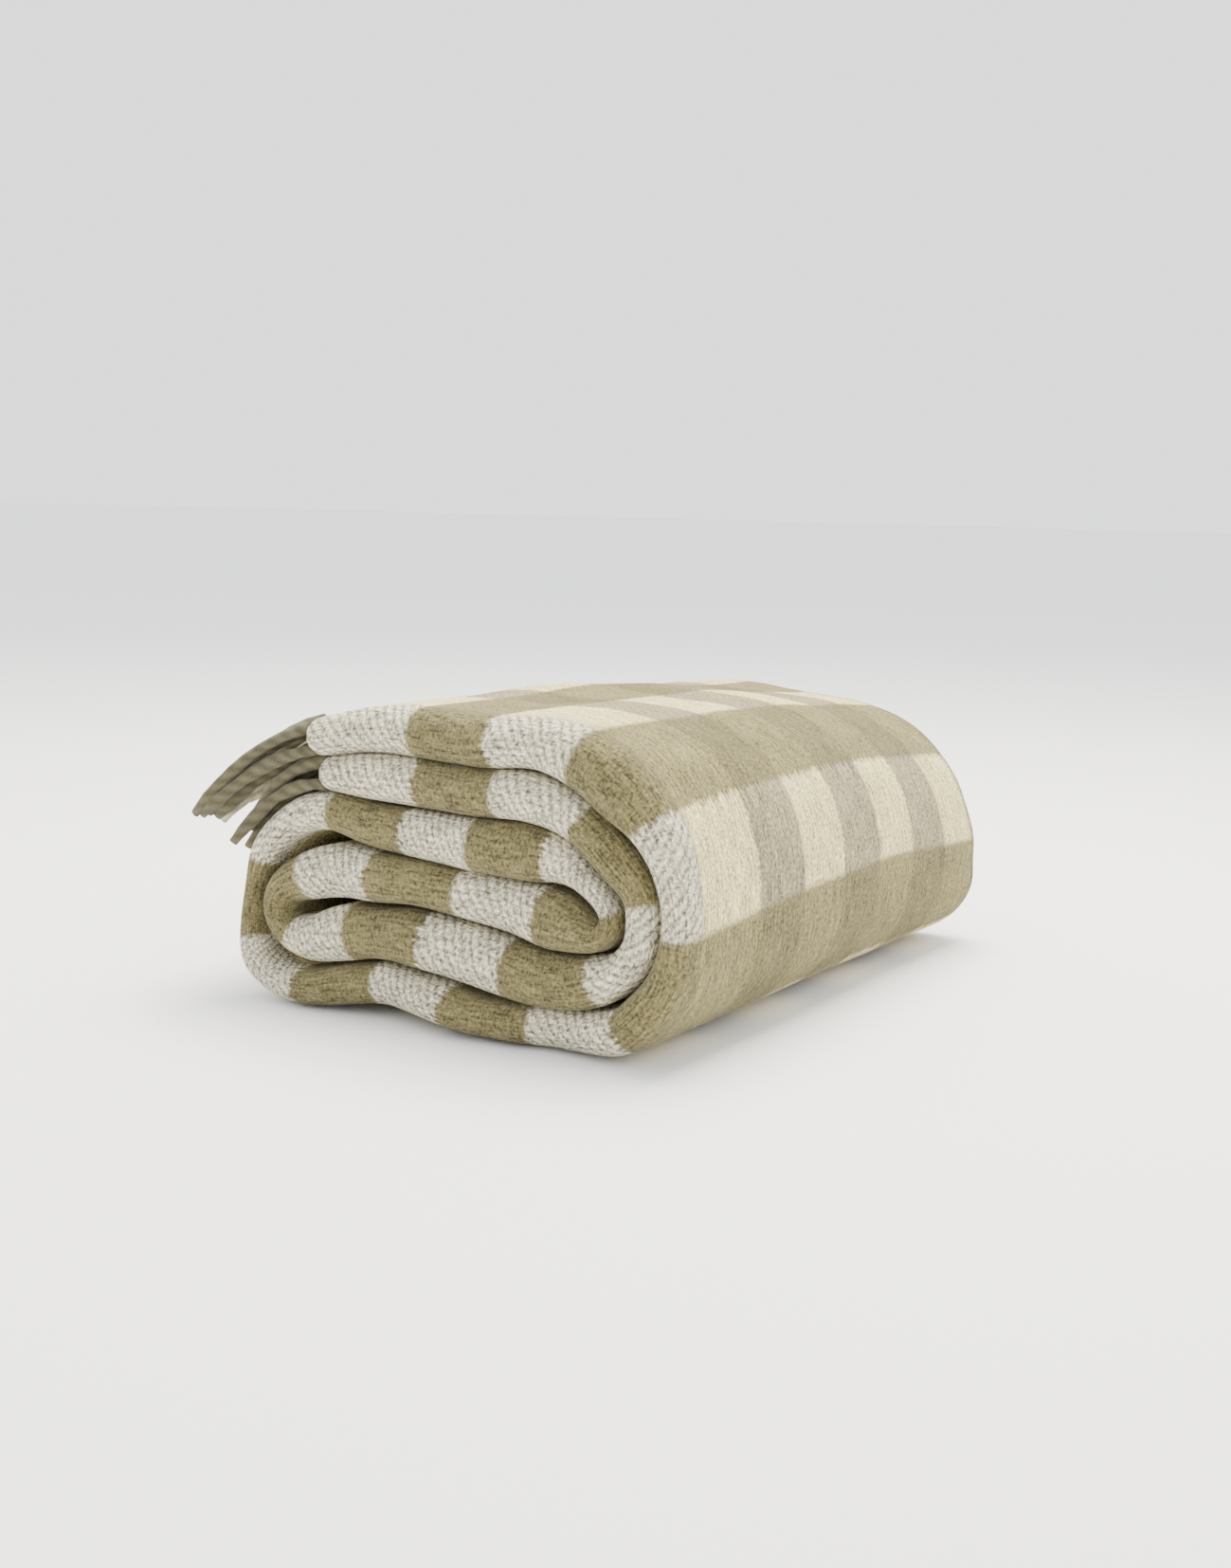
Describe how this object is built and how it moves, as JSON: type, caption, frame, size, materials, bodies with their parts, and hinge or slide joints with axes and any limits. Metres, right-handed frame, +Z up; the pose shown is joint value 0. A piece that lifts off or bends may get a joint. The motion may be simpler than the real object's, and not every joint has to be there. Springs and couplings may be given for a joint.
{
  "type": "rolled fringed blanket",
  "caption": "Thick brushed-wool check throw with twisted fringes at both ends, folded lengthwise, doubled and rolled flat, with a top flap that lifts.",
  "frame": {"origin": "middle of the flat face that the roll rests on", "axes": "+Y along the roll, towards the end with the loose selvedge; +X across it, away from the fringes; +Z up"},
  "size_m": [0.3532, 0.432, 0.1825],
  "materials": {
    "checked_cloth": "brushed wool twill in an olive and cream check",
    "tassel_yarn": "twisted olive wool yarn"
  },
  "bodies": {
    "root": {"outer_ply_side": "checked_cloth", "outer_ply_base": "checked_cloth", "outer_ply_turn": "checked_cloth", "outer_ply_core": "checked_cloth", "core_fold": "checked_cloth", "inner_ply_core": "checked_cloth", "inner_ply_turn": "checked_cloth", "inner_ply_base": "checked_cloth", "inner_ply_side": "checked_cloth"},
    "outer_flap": {"outer_ply_top": "checked_cloth"},
    "inner_flap": {"inner_ply_top": "checked_cloth"},
    "outer_fringe": {"outer_fringe_upper_row": "tassel_yarn", "outer_fringe_middle_row": "tassel_yarn", "outer_fringe_lower_row": "tassel_yarn"},
    "inner_fringe": {"inner_fringe_upper_row": "tassel_yarn", "inner_fringe_middle_row": "tassel_yarn", "inner_fringe_lower_row": "tassel_yarn"}
  },
  "joints": [
    {"name": "outer_flap_lift", "type": "hinge", "parent": "root", "child": "outer_flap", "pos_m": [0.069, 0, 0.1825], "axis": [0, 1, 0], "range_deg": [0, 60]},
    {"name": "inner_flap_lift", "type": "hinge", "parent": "root", "child": "inner_flap", "pos_m": [0.069, 0, 0.152], "axis": [0, 1, 0], "range_deg": [0, 30]},
    {"name": "outer_fringe_swing", "type": "hinge", "parent": "outer_flap", "child": "outer_fringe", "pos_m": [-0.1048, 0, 0.1675], "axis": [0, 1, 0], "range_deg": [0, 45]},
    {"name": "inner_fringe_swing", "type": "hinge", "parent": "inner_flap", "child": "inner_fringe", "pos_m": [-0.1008, 0, 0.142], "axis": [0, 1, 0], "range_deg": [0, 22.5]}
  ],
  "couplings": [
    {"joint": "inner_flap_lift", "follows": "outer_flap_lift", "ratio": 0.5},
    {"joint": "inner_fringe_swing", "follows": "outer_fringe_swing", "ratio": 0.5}
  ]
}
